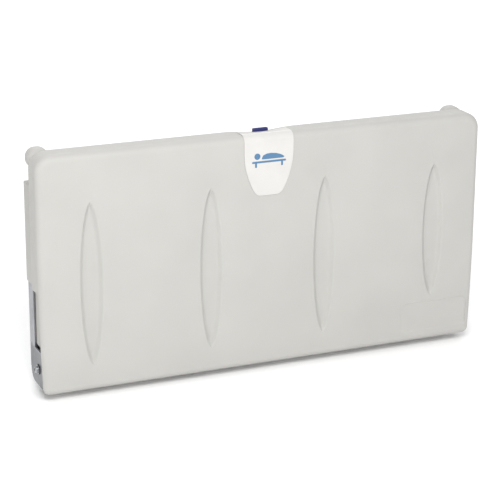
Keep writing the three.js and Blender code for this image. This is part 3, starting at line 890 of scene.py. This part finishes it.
def house_outline(d):
    """Stepped outline of the housing, inset by d, corners softened."""
    raw = [
        (LOWER_X, 76, 6),
        (LOWER_X, REC_Z, 0.8),
        (438.5, REC_Z, 2.0),
        (438.5, LEDGE, 3.0),
        (HOOK_IN - 0.3, LEDGE, 1.5),
        (HOOK_IN - 0.3, HTOP, 5.0),
    ]
    raw = raw + [(-x, z, r) for x, z, r in reversed(raw)]
    n = len(raw)
    pts = []
    # inset every side by d
    def side_dir(a, b):
        dx, dz = b[0] - a[0], b[1] - a[1]
        l = math.hypot(dx, dz)
        return dx / l, dz / l

    moved = []
    for i in range(n):
        p0, p1, p2 = raw[i - 1], raw[i], raw[(i + 1) % n]
        a, c = side_dir(p0, p1), side_dir(p1, p2)
        n1, n2 = (-a[1], a[0]), (-c[1], c[0])
        den = 1 + n1[0] * n2[0] + n1[1] * n2[1]
        moved.append((p1[0] + d * (n1[0] + n2[0]) / den, p1[1] + d * (n1[1] + n2[1]) / den, p1[2]))
    for i in range(n):
        p0, p1, p2 = moved[i - 1], moved[i], moved[(i + 1) % n]
        a, c = side_dir(p0, p1), side_dir(p1, p2)
        turn = a[0] * c[1] - a[1] * c[0]
        r = p1[2]
        r = max(0.3, r - d) if turn > 0 else r + d * 0.3
        t = min(r, 2.4) if abs(p1[1] - REC_Z) < 6 else r
        s = (p1[0] - a[0] * t, p1[1] - a[1] * t)
        e = (p1[0] + c[0] * t, p1[1] + c[1] * t)
        for k in range(7):
            u = k / 6
            x = (1 - u) ** 2 * s[0] + 2 * u * (1 - u) * p1[0] + u * u * e[0]
            z = (1 - u) ** 2 * s[1] + 2 * u * (1 - u) * p1[1] + u * u * e[1]
            pts.append((x, z))
    return pts


def make_housing():
    rings = []
    bev = 3.6
    for i in range(6):
        a = PI / 2 * i / 5
        rings.append(at_y(house_outline(bev * (1 - math.sin(a))), HY + bev * (1 - math.cos(a))))
    rings.append(at_y(house_outline(0), 99.9))
    ob = solid_stack("wall_housing_shell", rings, 35)

    def basin(name, grow, y_open, y_floor, soft=14.0):
        o = lambda d: rrect(
            -365 - grow + d, 365 + grow - d, 112 - grow + d, 388 + grow - d, max(5, 40 + grow - d), max(5, 40 + grow - d), 10, 12, 8
        )
        rs = [at_y(o(-2.2), y_open)]
        if grow == 0:
            rs = [at_y(o(-2.4), y_open), at_y(o(-2.4), HY - 0.01), at_y(o(-1.0), HY + 0.5), at_y(o(-0.2), HY + 1.6), at_y(o(0.2), HY + 3.0)]
        else:
            rs = [at_y(o(0), y_open)]
        rs.append(at_y(o(2.0), y_floor - soft))
        for i in range(1, 8):
            a = PI / 2 * i / 7
            rs.append(at_y(o(2.0 + (soft - 2) * (1 - math.cos(a))), y_floor - soft + soft * math.sin(a)))
        return solid_stack(name, rs, 40)

    cave = rounded_box("cave", (-436.3, HY + 4, REC_Z - 3), (436.3, 120, LEDGE - 3), 1.5, 3, 1)
    low = rounded_box("low", (-LOWER_X + 3, HY + 4, 40), (LOWER_X - 3, 120, REC_Z + 3), 0.5, 1, 1)
    top = rounded_box("top", (-HOOK_IN + 3.3, HY + 4, 300), (HOOK_IN - 3.3, 120, HTOP - 3), 2.5, 3, 1)
    boolean(cave, low, "UNION")
    boolean(cave, top, "UNION")
    boolean(cave, basin("bo", 3.0, HY - 20, 86.0))
    boolean(ob, cave)
    boolean(ob, basin("bi", 0.0, HY - 20, 83.0))
    cut_box(ob, -26.3, 26.3, HY - 5, HY + 3.6, 395.7, 440)
    cut_box(ob, -10, 10, HY - 5, HY + 12, 405, 427.4)
    for s in (-1, 1):
        a, c = sorted((s * (LOWER_X - 4), s * 434.0))
        cut_box(ob, a, c, 93.9, 120, 40, REC_Z - 2)
    return tidy(ob, 2e-6, 35)


place(make_housing(), "wall_unit", M_house, "shell_grey", "back_shell", "back_basin")


# ---------------------------------------------------------------- bag hooks
def make_hook(sign_):
    head = rounded_box("head", (HOOK_IN, 53, 412), (439.5, 98, 451), 18.0, 10, 4)
    for v in head.data.vertices:
        pass
    neck = rounded_box("neck", (HOOK_IN, 60, LEDGE + 0.3), (426, 97.2, 432), 3.0, 4, 2)
    boolean(head, neck, "UNION")
    if sign_ < 0:
        for v in head.data.vertices:
            v.co.x = -v.co.x
        head.data.flip_normals()
    head.name = "bag_hook_" + ("right" if sign_ > 0 else "left") + "_moulding"
    return tidy(head, 2e-6, 42)


place(make_hook(-1), "wall_unit", M_house, "shell_grey", "bag_hook_left")
place(make_hook(1), "wall_unit", M_house, "shell_grey", "bag_hook_right")


# ---------------------------------------------------------------- liner dispenser cover
def make_liner():
    o = lambda d: rrect(-150 + d, 150 - d, 170 + d, 320 - d, 14 - d, 14 - d, 8, 14, 8)
    rings = []
    for i in range(7):
        a = PI / 2 * i / 6
        rings.append(at_y(o(6 * (1 - math.sin(a))), 58 + 6 * (1 - math.cos(a))))
    rings.append(at_y(o(0), 82.6))
    ob = solid_stack("liner_cover_shell", rings, 35)
    inner = solid_stack(
        "in",
        [at_y(rrect(-147, 147, 173, 317, 11, 11, 6, 4, 4), 61), at_y(rrect(-147, 147, 173, 317, 11, 11, 6, 4, 4), 90)],
    )
    boolean(ob, inner)
    s = lambda d: rrect(-80 - d, 80 + d, 225 - d, 265 + d, 19.9 + d, 19.9 + d, 10, 8, 1)
    hole = solid_stack(
        "slot", [at_y(s(3.0), 50), at_y(s(3.0), 57.99), at_y(s(1.4), 58.5), at_y(s(0.4), 59.6), at_y(s(0), 61), at_y(s(0), 70)]
    )
    boolean(ob, hole)
    for x in (-130, 130):
        post = turned("post", [(5, 60), (5, 82.6)], "y", (x, 0, 245), 24)
        boolean(ob, post, "UNION")
        bore = turned("bore", [(2.8, 50), (2.8, 90)], "y", (x, 0, 245), 20)
        boolean(ob, bore)
    return tidy(ob, 2e-6, 35)


place(make_liner(), "wall_unit", M_house, "shell_grey", "liner_cover")


# ---------------------------------------------------------------- belt
def ribbon(name, path, width, thick):
    """Webbing ribbon along a path of (y, z), centred on x = 0."""
    b = Builder()
    n = len(path)
    rings = []
    nx = 8
    for i, (y, z) in enumerate(path):
        a, c = path[max(0, i - 1)], path[min(n - 1, i + 1)]
        ty, tz = c[0] - a[0], c[1] - a[1]
        l = math.hypot(ty, tz) or 1
        ny, nz = -tz / l, ty / l
        ring = []
        for k in range(nx + 1):
            u = -1 + 2 * k / nx
            th = thick / 2 * (1 - 0.55 * max(0, abs(u) - 0.86) / 0.14)
            ring.append((u * width / 2, y + ny * th, z + nz * th))
        for k in range(nx, -1, -1):
            u = -1 + 2 * k / nx
            th = thick / 2 * (1 - 0.55 * max(0, abs(u) - 0.86) / 0.14)
            ring.append((u * width / 2, y - ny * th, z - nz * th))
        rings.append(b.ring(ring))
    for p, q in zip(rings, rings[1:]):
        b.bridge(p, q)
    b.cap(rings[0], True)
    b.cap(rings[-1])
    return b.make(name, 50)


def smooth_path(keys, n=10):
    out = []
    m = len(keys)
    for i in range(m - 1):
        p0, p1 = keys[max(0, i - 1)], keys[i]
        p2, p3 = keys[i + 1], keys[min(m - 1, i + 2)]
        for k in range(n):
            t = k / n
            out.append(
                tuple(
                    0.5
                    * (
                        2 * p1[j]
                        + (p2[j] - p0[j]) * t
                        + (2 * p0[j] - 5 * p1[j] + 4 * p2[j] - p3[j]) * t * t
                        + (3 * p1[j] - p0[j] - 3 * p2[j] + p3[j]) * t**3
                    )
                    for j in (0, 1)
                )
            )
    out.append(keys[-1])
    return out


lower_keys = [(28.3, 196), (28.4, 188), (27.0, 172), (25.2, 150), (25.4, 124), (28.6, 106), (29.6, 101.5), (28.6, 97.2), (25.3, 96.4), (22.6, 98.6), (22.2, 104), (22.6, 116), (23.2, 138)]
upper_keys = [(28.3, 258), (28.4, 264), (27.0, 280), (25.2, 302), (25.4, 328), (28.6, 346), (29.6, 350.5), (28.6, 354.8), (25.3, 355.6), (22.6, 353.4), (22.2, 348), (22.6, 336), (23.2, 314)]
place(ribbon("belt_lower", smooth_path(lower_keys), 38, 1.5), "bed", M_web, "webbing", "strap_lower")
place(ribbon("belt_upper", smooth_path(upper_keys), 38, 1.5), "bed", M_web, "webbing", "strap_upper")


def make_anchor(z, name):
    base = plate_xz("a", lambda d: rrect(-27 + d, 27 - d, z - 9 + d, z + 9 - d, 4 - d, 4 - d, 6, 4, 3), 20.3, 22.0, 0.5, 3)
    b2 = rounded_box("barr", (-24, 23.6, z - 2.2), (24, 27.6, z + 2.2), 1.9, 5, 3)
    for s in (-1, 1):
        leg = rounded_box("leg", (s * 23 - 2.6, 21.0, z - 3.4), (s * 23 + 2.6, 27.8, z + 3.4), 1.6, 4, 1)
        boolean(b2, leg, "UNION")
    boolean(base, b2, "UNION")
    for s in (-1, 1):
        dome = turned("dome", [(2.9, 21.5), (2.9, 22.3), (2.4, 22.9), (1.2, 23.3), (0.01, 23.4)], "y", (s * 14, 0, z + 5.6), 20)
        boolean(base, dome, "UNION")
    base.name = name
    return tidy(base, 2e-6, 38)


# the bar's front is open, so the webbing goes round it
place(make_anchor(102, "belt_anchor_lower_part"), "bed", M_dark, "dark_plastic", "strap_anchor_lower")
place(make_anchor(350, "belt_anchor_upper_part"), "bed", M_dark, "dark_plastic", "strap_anchor_upper")


def make_buckle():
    sock = rounded_box("buckle_socket_part", (-22, 20.9, 190.4), (22, 32.7, 232), 4.2, 6, 3)
    c = rounded_box("c", (-15.8, 23.2, 205), (15.8, 30.4, 240), 1.0, 3, 1)
    boolean(sock, c)
    for s in (-1, 1):
        c = rounded_box("c", (s * 24 - 6.5, 22.6, 210), (s * 24 + 6.5, 31, 226), 3.0, 4, 1)
        boolean(sock, c)
    c = rounded_box("c", (-19.3, 24.6, 186), (19.3, 31.4, 199.5), 1.2, 3, 1)
    boolean(sock, c)
    for i in range(3):
        z = 214 + 5 * i
        c = rounded_box("c", (-9 + 2 * i, 32.1, z - 0.6), (9 - 2 * i, 34, z + 0.6), 0.5, 2, 1)
        boolean(sock, c)
    tidy(sock, 2e-6, 38)
    plug = rounded_box("buckle_plug_part", (-22, 20.9, 232.5), (22, 32.7, 261.6), 4.2, 6, 3)
    c = rounded_box("c", (-19.3, 24.6, 252.6), (19.3, 31.4, 268), 1.2, 3, 1)
    boolean(plug, c)
    for s in (-1, 1):
        a = rounded_box("a", (s * 11.5 - 3.6, 24, 207), (s * 11.5 + 3.6, 29.6, 236), 2.2, 4, 2)
        boolean(plug, a, "UNION")
    mid = rounded_box("m", (-2.4, 24.2, 209), (2.4, 29.4, 236), 1.6, 4, 1)
    boolean(plug, mid, "UNION")
    tidy(plug, 2e-6, 38)
    return sock, plug


sock, plug = make_buckle()
place(sock, "bed", M_dark, "dark_plastic", "buckle_socket")
place(plug, "bed", M_dark, "dark_plastic", "buckle_plug")

# ---------------------------------------------------------------- pivot bolts
for s, tag in ((1, "right"), (-1, "left")):
    prof = [
        (0.01, 418.9),
        (4.4, 418.9),
        (5.0, 419.6),
        (5.0, 437.3),
        (8.6, 437.3),
        (9.0, 437.6),
        (9.0, 438.0),
        (8.7, 438.3),
        (7.0, 438.3),
        (7.0, 440.6),
        (6.7, 441.6),
        (6.0, 442.5),
        (4.9, 443.2),
        (3.4, 443.7),
        (1.6, 443.95),
        (0.01, 444.0),
    ]
    yz = local_box("pivot_bolt_" + tag)
    cy, cz = (yz[0][1] + yz[1][1]) / 2, (yz[0][2] + yz[1][2]) / 2
    ob = turned("pivot_screw_" + tag, [(r, s * a) for r, a in prof], "x", (0, cy, cz), 48, 30)
    sock6 = turned("hex", [(3.2, s * 441.4), (3.2, s * 450)], "x", (0, cy, cz), 6, 20)
    boolean(ob, sock6)
    tidy(ob, 2e-6, 30)
    place(ob, "wall_unit", M_bolt, "bolt_steel", "pivot_bolt_" + tag)

# ---------------------------------------------------------------- carried-over CAD nodes
nodes = frame["nodes"]


def dress(names, mat, bevel=0.0, angle=32):
    for n in names:
        ob = nodes[n]
        paint(ob, mat)
        for p in ob.data.polygons:
            p.use_smooth = False
        if bevel:
            w = ob.modifiers.new("weld", "WELD")
            w.merge_threshold = 1e-5
            m = ob.modifiers.new("edge", "BEVEL")
            m.width, m.segments, m.limit_method = bevel / 1000, 2, "ANGLE"
            m.angle_limit = math.radians(angle)


dress(["side_bracket_left", "side_bracket_right"], M_bracket, 0.5)
dress(["hinge_arm_left", "hinge_arm_right"], M_arm, 0.4)
dress(["wall_plate"], M_zinc, 0.4)
dress(["tie_rail", "bed_stiffener"], M_zincx, 0.4)
dress(["strike_plate"], M_zinc, 0.3)
dress(["latch_spring"], M_bolt)
dress(["latch_guide"], M_nylon, 0.3)
dress(["pivot_washer_left", "pivot_washer_right"], M_nylon)
dress(["pivot_bush_left", "pivot_bush_right"], M_dark)
dress(["pivot_nut_left", "pivot_nut_right"], M_bolt, 0.3)
dress([n for n in nodes if n.startswith(("arm_screw", "bracket_bolt", "wall_screw", "liner_screw"))], M_bolt, 0.2)
dress(["gas_anchor_stud", "gas_rod_pin", "gas_pin_rivet"], M_bolt, 0.2)
dress(["gas_rod"], M_bolt)
dress(["gas_cylinder"], M_tube)
dress(["bumper_left", "bumper_right"], M_rub, 0.3)

# ---------------------------------------------------------------- stage, light, camera
FLOOR = BASE_Z - 0.0140
bpy.ops.mesh.primitive_plane_add(size=14, location=(0, -1.0, FLOOR))
floor = bpy.context.object
floor.name = "studio_floor"
mf, nt, bs = principled("studio_floor", (0.97, 0.97, 0.97), 0.9, spec=0.0)
nt.links.new(
    ramp(nt, noise(nt, coords(nt), 3.0, 2.0), [(0.3, (0.965, 0.965, 0.965)), (0.7, (0.972, 0.972, 0.972))]),
    bs.inputs["Base Color"],
)
bs.inputs["Emission Color"].default_value = (1, 1, 1, 1)
bs.inputs["Emission Strength"].default_value = 0.06
floor.data.materials.append(mf)


def area(name, loc, target, size, power, color=(1, 1, 1)):
    l = bpy.data.lights.new(name, "AREA")
    l.shape, l.size, l.size_y = "RECTANGLE", size[0], size[1]
    l.energy, l.color = power, color
    o = bpy.data.objects.new(name, l)
    bpy.context.scene.collection.objects.link(o)
    o.location = loc
    o.rotation_mode = "QUATERNION"
    o.rotation_quaternion = (Vector(target) - Vector(loc)).to_track_quat("-Z", "Y")
    return o


area("key", (-0.66, -1.85, 1.55), (0, 0, -0.02), (1.1, 0.9), 38)
area("left", (-2.8, -0.6, 1.2), (0, 0, 0), (2.0, 1.6), 4)
area("backdrop", (1.2, 3.6, 2.4), (1.2, 3.6, 0), (5.0, 3.0), 90)

world = bpy.data.worlds.new("studio")
bpy.context.scene.world = world
world.use_nodes = True
world.node_tree.nodes["Background"].inputs["Color"].default_value = (1.0, 1.0, 1.0, 1)
world.node_tree.nodes["Background"].inputs["Strength"].default_value = 0.72

scene = bpy.context.scene
scene.view_settings.view_transform = "Standard"
scene.view_settings.look = "None"
scene.view_settings.exposure = 0.0
scene.view_settings.gamma = 1.0

cam = bpy.data.objects.new("camera", bpy.data.cameras.new("camera"))
scene.collection.objects.link(cam)
scene.camera = cam
cam.data.sensor_width = 36.0
cam.data.lens = 1817.3 / 500 * 36.0
cam.data.shift_x, cam.data.shift_y = 0.9 / 500, 0.6 / 500
cam.data.clip_start, cam.data.clip_end = 0.05, 60
YAW, PITCH, ROLL = 0.402007, 0.318868, 0.005672
cam.location = P(-1295.3, -2956.4, 1293.3)
cy_, sy_, cp_, sp_ = math.cos(YAW), math.sin(YAW), math.cos(PITCH), math.sin(PITCH)
fwd = Vector((sy_ * cp_, cy_ * cp_, -sp_))
right = Vector((cy_, -sy_, 0))
up = right.cross(fwd)
r2 = math.cos(ROLL) * right + math.sin(ROLL) * up
u2 = -math.sin(ROLL) * right + math.cos(ROLL) * up
cam.rotation_mode = "QUATERNION"
cam.rotation_quaternion = Matrix((r2, u2, -fwd)).transposed().to_quaternion()
